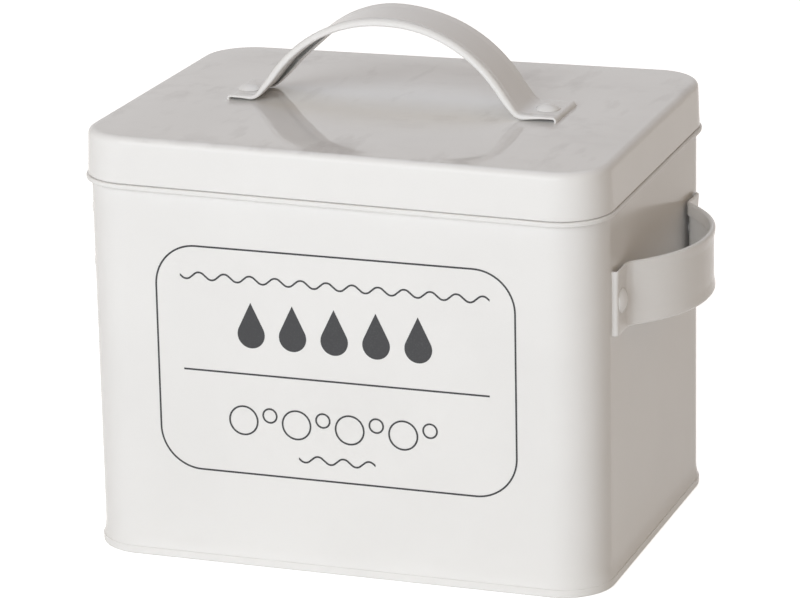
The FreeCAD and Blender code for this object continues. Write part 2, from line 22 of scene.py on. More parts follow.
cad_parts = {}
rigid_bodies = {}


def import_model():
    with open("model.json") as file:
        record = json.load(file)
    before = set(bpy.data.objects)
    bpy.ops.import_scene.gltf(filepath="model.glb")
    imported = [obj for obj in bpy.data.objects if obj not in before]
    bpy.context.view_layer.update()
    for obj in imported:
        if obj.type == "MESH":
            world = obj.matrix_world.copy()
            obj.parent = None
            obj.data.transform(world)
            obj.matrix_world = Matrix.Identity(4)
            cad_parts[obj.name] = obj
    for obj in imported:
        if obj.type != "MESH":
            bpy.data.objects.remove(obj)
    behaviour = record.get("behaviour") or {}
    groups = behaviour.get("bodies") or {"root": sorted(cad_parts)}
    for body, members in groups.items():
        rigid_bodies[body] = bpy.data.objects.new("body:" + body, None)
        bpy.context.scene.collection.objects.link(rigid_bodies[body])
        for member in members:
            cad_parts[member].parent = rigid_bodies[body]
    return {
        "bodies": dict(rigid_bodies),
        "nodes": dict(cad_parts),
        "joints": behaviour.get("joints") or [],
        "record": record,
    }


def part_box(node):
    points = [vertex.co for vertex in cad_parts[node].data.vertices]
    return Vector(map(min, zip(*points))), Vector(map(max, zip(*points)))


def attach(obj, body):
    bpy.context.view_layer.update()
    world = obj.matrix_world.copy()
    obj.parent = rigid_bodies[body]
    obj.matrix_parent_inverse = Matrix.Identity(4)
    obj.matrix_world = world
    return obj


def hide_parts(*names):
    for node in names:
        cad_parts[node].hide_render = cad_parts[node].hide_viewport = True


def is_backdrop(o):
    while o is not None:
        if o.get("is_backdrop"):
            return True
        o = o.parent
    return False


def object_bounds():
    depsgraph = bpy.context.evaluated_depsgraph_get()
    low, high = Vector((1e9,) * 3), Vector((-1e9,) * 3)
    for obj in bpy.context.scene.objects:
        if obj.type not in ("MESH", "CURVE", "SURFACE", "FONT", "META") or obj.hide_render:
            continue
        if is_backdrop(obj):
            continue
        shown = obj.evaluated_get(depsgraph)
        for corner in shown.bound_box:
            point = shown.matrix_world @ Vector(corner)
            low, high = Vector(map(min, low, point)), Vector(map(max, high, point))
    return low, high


MM = 0.001
WELD_GAP = 1e-4
SHARP_ANGLE = math.radians(40)

log = logging.getLogger("detergent_box")


def add_object(name: str, data: bpy.types.ID) -> bpy.types.Object:
    """Add an object to the scene.

    Args:
        name: The object's name.
        data: Its mesh, lamp or camera.

    Returns:
        The object.
    """
    added = bpy.data.objects.new(name, data)
    bpy.context.scene.collection.objects.link(added)
    return added


# Shader maths ------------------------------------------------------------------


class Signal:
    """A number that varies over a surface, as a node socket that takes part in sums."""

    def __init__(self, graph: Graph, socket: bpy.types.NodeSocket | None) -> None:
        """Wrap a socket of a graph."""
        self.graph = graph
        self.socket = socket

    def _math(self, operation: str, first: Value, second: Value) -> Signal:
        """Add a Math node for two values."""
        return self.graph.node("ShaderNodeMath", {"operation": operation}, {0: first, 1: second})

    def __add__(self, other: Value) -> Signal:
        """Sum of this signal and a value."""
        return self._math("ADD", self, other)

    def __radd__(self, other: Value) -> Signal:
        """Sum of a value and this signal."""
        return self._math("ADD", other, self)

    def __sub__(self, other: Value) -> Signal:
        """This signal less a value."""
        return self._math("SUBTRACT", self, other)

    def __rsub__(self, other: Value) -> Signal:
        """A value less this signal."""
        return self._math("SUBTRACT", other, self)

    def __mul__(self, other: Value) -> Signal:
        """Product of this signal and a value."""
        return self._math("MULTIPLY", self, other)

    def __rmul__(self, other: Value) -> Signal:
        """Product of a value and this signal."""
        return self._math("MULTIPLY", other, self)

    def above(self, low: float, high: float) -> Signal:
        """Rise smoothly from 0 to 1 as this signal goes from low to high.

        Args:
            low: Where the rise starts.
            high: Where it ends.

        Returns:
            The eased signal.
        """
        settings = {"interpolation_type": "SMOOTHSTEP"}
        sockets = {"Value": self, "From Min": low, "From Max": high}
        return self.graph.node("ShaderNodeMapRange", settings, sockets)

    def at_most(self, limit: float) -> Signal:
        """This signal, held at or below a limit."""
        return self._math("MINIMUM", self, limit)


Value = float | Signal
Colour = tuple[float, float, float]


class Graph:
    """The nodes of one material or of the world."""

    def __init__(self, tree: bpy.types.NodeTree) -> None:
        """Start from an emptied node tree."""
        tree.nodes.clear()
        self.tree = tree

    def node(
        self,
        kind: str,
        settings: dict[str, Any] | None = None,
        sockets: dict[str | int, Any] | None = None,
        output: str | int = 0,
    ) -> Signal:
        """Add one node.

        Args:
            kind: The node's type.
            settings: Its own settings, set first.
            sockets: Values, or signals to link, by socket name or place.
            output: Which output to hand on.

        Returns:
            The chosen output as a signal.
        """
        node = self.tree.nodes.new(kind)
        for name, setting in (settings or {}).items():
            setattr(node, name, setting)
        for name, value in (sockets or {}).items():
            if isinstance(value, Signal):
                self.tree.links.new(value.socket, node.inputs[name])
            else:
                node.inputs[name].default_value = value
        return Signal(self, node.outputs[output] if node.outputs else None)

    def blend(self, amount: Value, first: Signal | Colour, second: Signal | Colour) -> Signal:
        """Mix two colours.

        Args:
            amount: Share of the second colour.
            first: Colour where the share is 0.
            second: Colour where the share is 1.

        Returns:
            The mixed colour.
        """
        colours = [c if isinstance(c, Signal) else (*c, 1.0) for c in (first, second)]
        # A Mix node keeps its colours at inputs 6 and 7, and their mixture at output 2.
        sockets = {0: amount, 6: colours[0], 7: colours[1]}
        return self.node("ShaderNodeMix", {"data_type": "RGBA"}, sockets, output=2)

    def grain(self, place: Signal, pitch: float, detail: float = 2.0) -> Signal:
        """Noise from 0 to 1, in clouds about a pitch apart, with octaves of finer detail on top."""
        sockets = {"Vector": place, "Scale": 1 / pitch, "Detail": detail}
        return self.node("ShaderNodeTexNoise", None, sockets)

    def drawn_out(self, place: Signal, turn: float, across: float, back: float) -> Signal:
        """Coordinates for long clouds, turned by radians, with so many to a metre each way."""
        sockets = {"Vector": place, "Rotation": (0.0, 0.0, turn), "Scale": (across, back, across)}
        return self.node("ShaderNodeMapping", {"vector_type": "POINT"}, sockets)


# Finishes ----------------------------------------------------------------------


def start_finish(name: str) -> tuple[bpy.types.Material, Graph, Signal]:
    """Start a material.

    Args:
        name: The material's name.

    Returns:
        The material, its nodes, and coordinates on its piece in metres.
    """
    material = bpy.data.materials.new(name)
    material.use_nodes = True
    graph = Graph(material.node_tree)
    return material, graph, graph.node("ShaderNodeTexCoord", output="Object")


@dataclass(frozen=True)
class PowderCoat:
    """Baked off-white coat on sheet steel.

    Attributes:
        name: The finish's name.
        colour: Colour of the coat.
        shade: Colour that its cloudy patches tend to.
        patch_pitch: Size of those patches in metres.
        patch_tone: How far the patches tend to it.
        speck_tone: How far fine specks tend to it.
        gloss: Roughness where the coat is clean.
        gloss_drift: How much rougher it is on a patch.
        gloss_loss: How much rougher it is on the lid's marks of handling smudge and painted reflection.
        peel_pitch: Distance between the coat's fine ripples in metres.
        peel_height: Height of those ripples in metres.
        swell_pitch: Distance between its broad swells, as a count of ripples.
        swell_height: Height of those swells, as a count of ripples' heights.
        mirror: Index of refraction of the coat's surface.
        smudge_reflection_strength: How strongly the darker cloudy marks show. They are handling smudges
            with painted reflection of blurry dark surroundings.
        smudge_reflection_from: Height in metres from which those marks are at their full strength.
        streak_share: Strength of the long streaks among the marks.
        haze_share: Strength of the broad haze among them.
        dab_share: Strength of the short dabs among them.
        smudge_reflection_colour: Colour of those marks, smudge and painted reflection alike.
    """

    name: str
    colour: Colour = (0.84, 0.83, 0.815)
    shade: Colour = (0.80, 0.79, 0.775)
    patch_pitch: float = 0.05
    patch_tone: float = 0.45
    speck_tone: float = 0.25
    gloss: float = 0.16
    gloss_drift: float = 0.05
    gloss_loss: float = 0.12
    peel_pitch: float = 0.0016
    peel_height: float = 0.000004
    swell_pitch: float = 9.0
    swell_height: float = 6.0
    mirror: float = 1.26
    # Strength and top height of the lid's darker cloudy marks: handling smudges, with painted reflection of
    # blurry dark surroundings.
    smudge_reflection_strength: float = 0.0
    smudge_reflection_from: float = 0.0
    streak_share: float = 0.45
    haze_share: float = 0.2
    dab_share: float = 0.5
    # Colour of those marks, for smudge and painted reflection alike.
    smudge_reflection_colour: Colour = (0.56, 0.535, 0.52)

    def material(self) -> bpy.types.Material:
        """Build the coat.

        Returns:
            The coat's material.
        """
        material, graph, place = start_finish(self.name)
        clouds = graph.grain(place, self.patch_pitch, detail=3.0)
        specks = graph.grain(place, self.peel_pitch / 2, detail=1.0)
        tone = self.patch_tone * clouds.above(0.35, 0.75) + self.speck_tone * specks.above(0.60, 0.80)
        colour = graph.blend(tone, self.colour, self.shade)
        # Darker cloudy marks on the lid top: handling smudges, with painted reflection of blurry dark
        # surroundings.
        smudge_reflection = self._smudge_reflection_marks(graph, place)
        if isinstance(smudge_reflection, Signal):
            colour = graph.blend(smudge_reflection, colour, self.smudge_reflection_colour)
        ripples = graph.grain(place, self.peel_pitch, detail=2.0)
        swells = graph.grain(place, self.swell_pitch * self.peel_pitch, detail=0.0)
        height = ripples + self.swell_height * swells
        relief = {"Strength": 1.0, "Distance": self.peel_height, "Height": height}
        coat = {
            "Base Color": colour,
            "Roughness": self.gloss + self.gloss_drift * clouds + self.gloss_loss * smudge_reflection,
            "Normal": graph.node("ShaderNodeBump", None, relief),
            "IOR": self.mirror,
        }
        surface = graph.node("ShaderNodeBsdfPrincipled", None, coat)
        graph.node("ShaderNodeOutputMaterial", None, {"Surface": surface})
        return material

    def _smudge_reflection_marks(self, graph: Graph, place: Signal) -> Value:
        """Lay faint darker marks over the high part of the coat: handling smudges, with painted reflection
        of blurry dark surroundings.

        Args:
            graph: The coat's nodes.
            place: Coordinates in metres.

        Returns:
            Strength of the marks, nought on a coat without them.
        """
        if self.smudge_reflection_strength == 0:
            return 0.0
        streak_place = graph.drawn_out(place, turn=0.5, across=14.0, back=30.0)
        streaks = graph.grain(streak_place, pitch=1.0, detail=4.0).above(0.47, 0.66)
        broken = graph.grain(place, pitch=0.010, detail=4.0).above(0.40, 0.64)
        haze = graph.grain(place, pitch=0.045, detail=3.0).above(0.40, 0.70)
        dab_place = graph.drawn_out(place, turn=-0.7, across=70.0, back=26.0)
        dabs = graph.grain(dab_place, pitch=1.0, detail=5.0).above(0.57, 0.70)
        high_up = graph.node("ShaderNodeSeparateXYZ", None, {"Vector": place}, output="Z")
        on_top = high_up.above(self.smudge_reflection_from - MM, self.smudge_reflection_from)
        # Streaks, haze and dabs together make the marks of smudge and painted reflection.
        smudge_reflection = self.streak_share * streaks * broken + self.haze_share * haze + self.dab_share * dabs
        return self.smudge_reflection_strength * on_top * smudge_reflection


@dataclass(frozen=True)
class PrintInk:
    """Dark grey ink, printed thinly over the coat.

    Attributes:
        name: The finish's name.
        colour: Colour where the ink lies thick.
        thin: Colour where the coat shows through it.
        dot_pitch: Distance between thin spots in metres.
        dot_height: Height of the ink round those spots in metres.
        patch_pitch: Distance between thinner patches in metres.
        sheen: Roughness where the ink lies thick.
        sheen_loss: How much rougher it is on the spots.
    """

    name: str = "print_ink"
    colour: Colour = (0.022, 0.022, 0.024)
    thin: Colour = (0.045, 0.045, 0.048)
    dot_pitch: float = 0.0007
    dot_height: float = 0.000003
    patch_pitch: float = 0.02
    sheen: float = 0.38
    sheen_loss: float = 0.12

    def material(self) -> bpy.types.Material:
        """Build the ink.

        Returns:
            The ink's material.
        """
        material, graph, place = start_finish(self.name)
        spots = graph.grain(place, self.dot_pitch, detail=2.0)
        clouds = graph.grain(place, self.patch_pitch, detail=2.0)
        colour = graph.blend(spots.above(0.45, 0.75) * clouds, self.colour, self.thin)
        relief = {"Strength": 1.0, "Distance": self.dot_height, "Height": spots}
        ink = {
            "Base Color": colour,
            "Roughness": self.sheen + self.sheen_loss * spots,
            "Normal": graph.node("ShaderNodeBump", None, relief),
        }
        surface = graph.node("ShaderNodeBsdfPrincipled", None, ink)
        graph.node("ShaderNodeOutputMaterial", None, {"Surface": surface})
        return material


# Sheet-metal meshes ------------------------------------------------------------


@dataclass(frozen=True)
class Corner:
    """A corner of a section, in millimetres.

    Attributes:
        out: Distance outwards from the wall, or across a strap.
        up: Height, or distance outwards from a strap's face.
        bend: Radius of the bend there, nought where the sheet is cut square.
    """

    out: float
    up: float
    bend: float = 0.0


def follow(corners: Sequence[Corner], closed: bool, steps: int = 8, hold: float = 0.0) -> list[Vector]:
    """Follow a section's corners, with an arc at each bend.

    Args:
        corners: The corners in order.
        closed: Whether the last corner runs on to the first.
        steps: Pieces that each arc is divided into.
        hold: Where above nought, each straight run over three times as long gets a point this
            far inside each end.

    Returns:
        The points of the section.
    """
    places = [Vector((corner.out, corner.up)) for corner in corners]
    arcs = []
    for index, corner in enumerate(corners):
        following = places[(index + 1) % len(places)]
        arcs.append(bend_round(places[index - 1], places[index], following, corner.bend, steps))
    points: list[Vector] = []
    for index, arc in enumerate(arcs):
        points.extend(arc)
        if not closed and index == len(arcs) - 1:
            break
        run = arcs[(index + 1) % len(arcs)][0] - arc[-1]
        if hold > 0 and run.length > 3 * hold:
            inset = run.normalized() * hold
            points.extend([arc[-1] + inset, arc[-1] + run - inset])
    return points


def bend_round(before: Vector, here: Vector, after: Vector, bend: float, steps: int) -> list[Vector]:
    """Round one corner.

    Args:
        before: The corner before it.
        here: The corner.
        after: The corner after it.
        bend: Radius of the bend, or nought for none.
        steps: Pieces that the arc is divided into.

    Returns:
        The points of the arc, or the corner alone.
    """
    if bend <= 0:
        return [here]
    back, ahead = (before - here).normalized(), (after - here).normalized()
    half = back.angle(ahead) / 2
    centre = here + (back + ahead).normalized() * (bend / math.sin(half))
    spoke = here + back * (bend / math.tan(half)) - centre
    turn = math.copysign(math.pi - 2 * half, ahead.x * back.y - ahead.y * back.x)
    return [centre + Matrix.Rotation(turn * step / steps, 2) @ spoke for step in range(steps + 1)]


def refine(points: Sequence[Vector], pitch: float) -> list[Vector]:
    """Divide the long runs of a line.

    Args:
        points: The line's points in order.
        pitch: Length that no run of the new line passes.

    Returns:
        The new line's points, with the old ones among them.
    """
    line = [points[0]]
    for start, end in zip(points, points[1:]):
        count = max(1, math.ceil((end - start).length / pitch))
        line.extend(start.lerp(end, part / count) for part in range(1, count + 1))
    return line


def ease(value: float, low: float, high: float) -> float:
    """Rise smoothly from 0 to 1 as a value goes from low to high."""
    share = min(1.0, max(0.0, (value - low) / (high - low)))
    return share * share * (3 - 2 * share)


class Skin:
    """The surface of one piece, gathered in millimetres."""

    def __init__(self) -> None:
        """Start with no points."""
        self._points: list[Vector] = []
        self._faces: list[tuple[int, ...]] = []

    def loft(self, rings: Sequence[Sequence[Vector]]) -> None:
        """Join closed rings, each to the next.

        Args:
            rings: The rings, each with as many points.
        """
        start, size = len(self._points), len(rings[0])
        for ring in rings:
            self._points.extend(ring)
        for row in range(len(rings) - 1):
            first = start + row * size
            for column in range(size):
                beside = (column + 1) % size
                corners = (first + column, first + beside, first + beside + size, first + column + size)
                self._faces.append(corners)

    def cap(self, ring: Sequence[Vector]) -> None:
        """Close an end with one face.

        Args:
            ring: The points round that face.
        """
        start = len(self._points)
        self._points.extend(ring)
        self._faces.append(tuple(range(start, start + len(ring))))

    def piece(self, name: str, finish: bpy.types.Material, place: Matrix | None = None) -> bpy.types.Object:
        """Weld the surface into an object.

        Args:
            name: The piece's name.
            finish: Its material.
            place: Where it goes, in millimetres, if it isn't drawn in place.

        Returns:
            The piece, in metres, in the row frame.
        """
        mesh = bpy.data.meshes.new(name)
        mesh.from_pydata(self._points, [], self._faces)
        shape = bmesh.new()
        shape.from_mesh(mesh)
        bmesh.ops.remove_doubles(shape, verts=shape.verts, dist=WELD_GAP)
        bmesh.ops.recalc_face_normals(shape, faces=shape.faces)
        bmesh.ops.transform(shape, matrix=Matrix.Scale(MM, 4) @ (place or Matrix()), verts=shape.verts)
        shape.to_mesh(mesh)
        shape.free()
        mesh.shade_smooth()
        mesh.set_sharp_from_angle(angle=SHARP_ANGLE)
        mesh.materials.append(finish)
        return add_object(name, mesh)


@dataclass(frozen=True)
class Station:
    """One place on the tin's plan.

    Attributes:
        foot: The place, on the wall's outer face.
        outwards: The way out from it.
        middle: The point of the plan's middle line that it faces.
    """

    foot: Vector
    outwards: Vector
    middle: Vector


@dataclass(frozen=True)
class Plan:
    """The tin's plan, a rounded rectangle, in millimetres.

    Attributes:
        width: Left to right over the wall.
        depth: Front to back over the wall.
        corner: Radius of its corners.
        rack: How far the rim is racked up at the front left and rear right corners, and
            down at the other two.
        rack_from: Height that the racked part starts from.
        corner_steps: Pieces that each corner is divided into.
        side_pitch: Rough width of the columns of mesh along a side.
        side_hold: Distance from a corner to the first column along a side.
    """

    width: float
    depth: float
    corner: float = 22.0
    rack: float = 1.2
    rack_from: float = 100.0
    corner_steps: int = 16
    side_pitch: float = 6.0
    side_hold: float = 1.0

    @cached_property
    def stations(self) -> list[Station]:
        """Find the places round the plan, anticlockwise from the right end of the rear right corner.

        Returns:
            The places in order.
        """
        reach = self.width / 2 - self.corner, self.depth / 2 - self.corner
        signs = [(1, 1), (-1, 1), (-1, -1), (1, -1)]
        centres = [Vector((x * reach[0], y * reach[1])) for x, y in signs]
        stations = []
        for quarter, centre in enumerate(centres):
            for step in range(self.corner_steps + 1):
                angle = (quarter + step / self.corner_steps) * math.pi / 2
                stations.append(self._station(centre, Vector((math.cos(angle), math.sin(angle)))))
            following = centres[(quarter + 1) % 4]
            length = (following - centre).length
            count = round(length / self.side_pitch)
            hold = self.side_hold / length
            shares = [hold, *(n / count for n in range(1, count)), 1 - hold]
            outwards = stations[-1].outwards
            stations.extend(self._station(centre.lerp(following, share), outwards) for share in shares)
        return stations

    def _station(self, centre: Vector, outwards: Vector) -> Station:
        """Find the place that lies outwards from the line of the corners' centres.

        Args:
            centre: A point of that line.
            outwards: The way out from it.

        Returns:
            The place.
        """
        foot = centre + outwards * self.corner
        half_line = (self.width - self.depth) / 2
        middle = Vector((min(half_line, max(-half_line, foot.x)), 0.0))
        return Station(foot, outwards, middle)

    def ring(self, out: float, up: float) -> list[Vector]:
        """Points round the plan, a distance outwards from the wall, at one height."""
        return [self._spot(s.foot + s.outwards * out, up) for s in self.stations]

    def _spot(self, place: Vector, up: float) -> Vector:
        """A point of the tin, at a place on the plan and a height, racked if it is high up."""
        share = place.x * place.y / (self.width * self.depth / 4) if up > self.rack_from else 0.0
        return Vector((place.x, place.y, up + self.rack * share))

    def rings(self, section: Sequence[Vector]) -> list[list[Vector]]:
        """Carry a section round the plan."""
        return [self.ring(point.x, point.y) for point in section]

    def plate(
        self, out: float, up: float, rows: int, swell: Callable[[float, float, float], float]
    ) -> list[list[Vector]]:
        """Fill the plan with rings that shrink to its middle line.

        Args:
            out: Distance outwards of the plate's edge.
            up: Its height.
            rows: How many rings.
            swell: Gives the sheet's rise at a place, from across, back and the share of the way out.

        Returns:
            The rings, from the middle to the edge.
        """
        rings = []
        for row in range(rows + 1):
            share = row / rows
            ring = []
            for station in self.stations:
                edge = station.foot + station.outwards * out
                spot = station.middle.lerp(edge, share)
                ring.append(self._spot(spot, up + swell(spot.x, spot.y, share)))
            rings.append(ring)
        return rings

    def panel(
        self, section: Sequence[Vector], rows: int, swell: Callable[[float, float, float], float]
    ) -> list[list[Vector]]:
        """Carry a section round the plan, with a plate inside its first end and its last."""
        upper, lower = (self.plate(end.x, end.y, rows, swell) for end in (section[0], section[-1]))
        return [*upper[:-1], *self.rings(section), *reversed(lower[:-1])]


def flat(across: float, back: float, share: float) -> float:
    """Rise of a sheet that is truly flat."""
    return 0.0


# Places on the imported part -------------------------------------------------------


class Seat(Enum):
    """The face that a strap or rivet stands on, as its directions along, across and outwards."""

    LID_TOP = ((1, 0, 0), (0, 1, 0), (0, 0, 1))
    RIGHT_END = ((0, 1, 0), (0, 0, 1), (1, 0, 0))
    LEFT_END = ((0, -1, 0), (0, 0, 1), (-1, 0, 0))

    def extent(self, node: str) -> Vector:
        """A node's size along, across and outwards, in millimetres."""
        low, high = node_box(node)
        return Vector(abs((high - low).dot(Vector(axis))) for axis in self.value)

    def place(self, node: str, outermost: float) -> Matrix:
        """Find where a node's own drawing stands.

        Args:
            node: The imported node.
            outermost: How far out its outermost point is from the face that it stands on.

        Returns:
            The drawing's place on that face, in millimetres.
        """
        low, high = node_box(node)
        outwards = Vector(self.value[2])
        base = (low + high) / 2 + outwards * (self.extent(node).z / 2 - outermost)
        turned = Matrix([Vector(axis) for axis in self.value]).transposed().to_4x4()
        return Matrix.Translation(base) @ turned


def node_box(node: str) -> tuple[Vector, Vector]:
    """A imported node's lowest and highest corners, in millimetres."""
    low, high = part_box(node)
    return low / MM, high / MM


# The tin, the lid and what is fixed to them ----------------------------------------


@dataclass(frozen=True)
class Tin:
    """The tin: one wall strip, and a bottom folded round its foot.

    Attributes:
        plan: The plan that both are bent to.
        finish: The coat.
        gauge: Thickness of the sheet.
        hem_gap: Gap inside the rim's hem.
        hem_depth: How far the hem reaches down.
        hem_slot: How deep its gap is open, from its lower edge.
        bead_reach: How far the rest bead stands out.
        bead_height: Height of the bead.
        bead_nose: Radius of the bead's edges.
        bead_slope: How far its underside runs down to the wall.
        bead_root: Radius where the bead leaves the wall.
        rest_gap: Gap between the bead and the lid's skirt, as packed.
        foot: Height of the wall's lower edge, inside the seam.
        step_out: How far out the wall's foot stands, inside the seam.
        flare_height: Height that the wall swings out from.
        flare_bend: Radius of the bend that it swings out with.
        seam_gap: Gap between the wall's foot and the rim folded round it.
        seam_height: Height of that rim.
        seam_round: Radius of the rim's lower edge.
        rim_round: Radius of the rim's upper edge.
        lip_inset: How far inside the rim's outer face the wall passes over the rim.
        lip_rise: How far above the rim it passes.
        lip_drop: How far below the rim's upper edge it starts outwards from the foot.
        lip_bend: Radius of its bend over the rim.
        lip_slant: How much higher and lower its inner face turns than its outer one.
        panel_bend: Radius where the bottom turns down.
        panel_gap: Gap between the bottom's upstand and the wall.
        panel_rows: Rows of mesh from the bottom's middle to its edge.
        wall_hold: Distance from a bend of the wall to the nearest row of mesh.
        panel_hold: The same distance on the bottom.
    """

    plan: Plan
    finish: bpy.types.Material
    gauge: float = 0.5
    hem_gap: float = 0.3
    hem_depth: float = 4.0
    hem_slot: float = 1.0
    bead_reach: float = 2.5
    bead_height: float = 2.0
    bead_nose: float = 0.6
    bead_slope: float = 0.6
    bead_root: float = 0.5
    rest_gap: float = 0.35
    foot: float = 1.0
    step_out: float = 0.75
    flare_height: float = 7.5
    flare_bend: float = 22.5
    seam_gap: float = 0.1
    seam_height: float = 3.9
    seam_round: float = 1.0
    rim_round: float = 0.2
    lip_inset: float = 0.3
    lip_rise: float = 0.2
    lip_drop: float = 0.4
    lip_bend: float = 0.15
    lip_slant: float = 0.3
    panel_bend: float = 1.0
    panel_gap: float = 0.1
    panel_rows: int = 8
    wall_hold: float = 0.5
    panel_hold: float = 0.4

    def wall(self) -> bpy.types.Object:
        """Build the wall strip with its rest bead, neck and hemmed rim.

        Returns:
            The wall.
        """
        rim = node_box("body_wall")[1].z
        bead_top = node_box("lid")[0].z - self.rest_gap
        bead_foot = bead_top - self.bead_height
        hem = 2 * self.gauge + self.hem_gap
        nose, root = self.bead_nose, self.bead_root
        inner_nose, inner_root = nose - self.gauge, root + self.gauge
        below = bead_foot - self.bead_slope
        inner = -self.gauge
        hem_foot, slot_top = rim - self.hem_depth, rim - self.hem_depth + self.hem_slot
        lip = self.step_out + self.seam_gap + self.gauge - self.lip_inset
        lip_up, step_up = self.seam_height + self.lip_rise, self.seam_height - self.lip_drop
        section = [
            Corner(self.step_out, self.foot),
            Corner(self.step_out, step_up),
            Corner(lip, lip_up, self.lip_bend),
            Corner(0, self.flare_height, self.flare_bend),
            Corner(0, below, root),
            Corner(self.bead_reach, bead_foot, nose),
            Corner(self.bead_reach, bead_top, nose),
            Corner(0, bead_top, root),
            Corner(0, rim, hem / 2),
            Corner(-hem, rim, hem / 2),
            Corner(-hem, hem_foot),
            Corner(self.gauge - hem, hem_foot),
            Corner(self.gauge - hem, slot_top),
            Corner(inner, slot_top),
            Corner(inner, bead_top - self.gauge, inner_root),
            Corner(self.bead_reach - self.gauge, bead_top - self.gauge, inner_nose),
            Corner(self.bead_reach - self.gauge, bead_foot + self.gauge, inner_nose),
            Corner(inner, below + self.gauge, inner_root),
            Corner(inner, self.flare_height, self.flare_bend),
            Corner(lip + inner, lip_up + self.lip_slant),
            Corner(self.step_out + inner, step_up - self.lip_slant),
            Corner(self.step_out + inner, self.foot),
        ]
        rings = self.plan.rings(follow(section, closed=True, hold=self.wall_hold))
        skin = Skin()
        skin.loft([*rings, rings[0]])
        return skin.piece("tin_wall", self.finish)

    def bottom(self) -> bpy.types.Object:
        """Build the raised bottom with its rim folded round the wall's foot.

        Returns:
            The bottom.
        """
        low, high = node_box("bottom_panel")
        top, under = high.z, high.z - self.gauge
        inside = self.step_out + self.seam_gap
        reach = inside + self.gauge
        upstand = -self.gauge - self.panel_gap
        inner_round = self.seam_round - self.gauge
        plate_edge = upstand - self.gauge - self.panel_bend
        section = [
            Corner(plate_edge, top),
            Corner(upstand, top, self.panel_bend),
            Corner(upstand, low.z + self.gauge),
            Corner(inside, low.z + self.gauge, inner_round),
            Corner(inside, self.seam_height),
            Corner(reach, self.seam_height, self.rim_round),
            Corner(reach, low.z, self.seam_round),
            Corner(upstand - self.gauge, low.z, self.gauge),
            Corner(upstand - self.gauge, under, self.panel_bend - self.gauge),
            Corner(plate_edge, under),
        ]
        line = follow(section, closed=False, hold=self.panel_hold)
        skin = Skin()
        skin.loft(self.plan.panel(line, self.panel_rows, flat))
        return skin.piece("tin_bottom", self.finish)


@dataclass(frozen=True)
class Lid:
    """The drawn lid: flat top, rounded edge and a skirt hemmed inwards at its foot.

    Attributes:
        plan: The tin's plan.
        finish: The coat.
        gauge: Thickness of the sheet.
        hem_gap: Gap inside the skirt's hem.
        hem_depth: How far the hem reaches up.
        hem_slot: How deep its gap is open, from its upper edge.
        flare: How much wider the skirt is at its foot.
        edge: Radius of the top's edge.
        edge_ring: Width of the even ring between that edge and the top sheet.
        settle: How much closer the skirt's foot sits to the bead than when packed.
        wave_pitch: Distance between the soft waves in the top sheet.
        wave_height: Height of those waves.
        dome: How much higher the top sheet stands than its edge.
        dome_edge: Width over which it rises from the edge.
        sink: How much lower the edge lies than when packed.
        smudge_reflection_drop: How far below the top, as packed, the marks of handling smudge and painted
            reflection are at their full strength.
        rows: Rows of mesh from the top's middle to its edge.
        bend_steps: Pieces that each bend is divided into.
        hold: Distance from a bend to the nearest row of mesh.
    """

    plan: Plan
    finish: bpy.types.Material
    gauge: float = 0.5
    hem_gap: float = 0.3
    hem_depth: float = 4.0
    hem_slot: float = 1.0
    flare: float = 0.8
    edge: float = 3.3
    edge_ring: float = 1.0
    settle: float = 0.2
    wave_pitch: float = 46.0
    wave_height: float = 0.10
    dome: float = 0.35
    dome_edge: float = 16.0
    sink: float = 0.1
    # Depth below the lid's top where the marks of smudge and painted reflection reach full strength.
    smudge_reflection_drop: float = 0.4
    rows: int = 26
    bend_steps: int = 10
    hold: float = 0.5

    def shell(self) -> bpy.types.Object:
        """Build the lid's shell.

        Returns:
            The shell.
        """
        low, high = node_box("lid")
        low.z -= self.settle
        high.z -= self.sink
        foot_out = (high.x - low.x - self.plan.width) / 2
        top_out = foot_out - self.flare
        hem = 2 * self.gauge + self.hem_gap
        hem_top, slot_foot = low.z + self.hem_depth, low.z + self.hem_depth - self.hem_slot
        top, under = high.z, high.z - self.gauge
        plate_edge = top_out - self.edge - self.edge_ring
        section = [
            Corner(plate_edge, top),
            Corner(top_out, top, self.edge),
            Corner(foot_out, low.z, hem / 2),
            Corner(foot_out - hem, low.z, hem / 2),
            Corner(foot_out - hem, hem_top),
            Corner(foot_out - hem + self.gauge, hem_top),
            Corner(foot_out - hem + self.gauge, slot_foot),
            Corner(foot_out - self.gauge, slot_foot),
            Corner(top_out - self.gauge, under, self.edge - self.gauge),
            Corner(plate_edge, under),
        ]
        line = follow(section, closed=False, steps=self.bend_steps, hold=self.hold)
        skin = Skin()
        skin.loft(self.plan.panel(line, self.rows, self._wave))
        return skin.piece("lid_shell", self.finish)

    def _wave(self, across: float, back: float, share: float) -> float:
        """Give the rise of the top sheet, which is a little domed and never quite even.

        Args:
            across: Distance to the right of the tin's middle.
            back: Distance behind it.
            share: Share of the way out to the edge.

        Returns:
            The rise.
        """
        cloud = noise.noise(Vector((across, back, 0.0)) / self.wave_pitch)
        to_edge = (1 - share) * self.plan.depth / 2
        fall = max(0.0, 1 - to_edge / self.dome_edge) ** 2
        return self.wave_height * cloud * (1 - share**4) + self.dome * (1 - fall)


@dataclass(frozen=True)
class Lean:
    """A place where a hand-bent strap leans out of true.

    Attributes:
        place: Distance of its middle along the strap from the strap's middle.
        lift: How much higher the strap's second long edge stands there.
        spread: How far it reaches along the strap.
    """

    place: float
    lift: float
    spread: float

    def at(self, place: float) -> float:
        """Lift of the second long edge at a place along the strap."""
        return self.lift * math.exp(-(((place - self.place) / self.spread) ** 2))


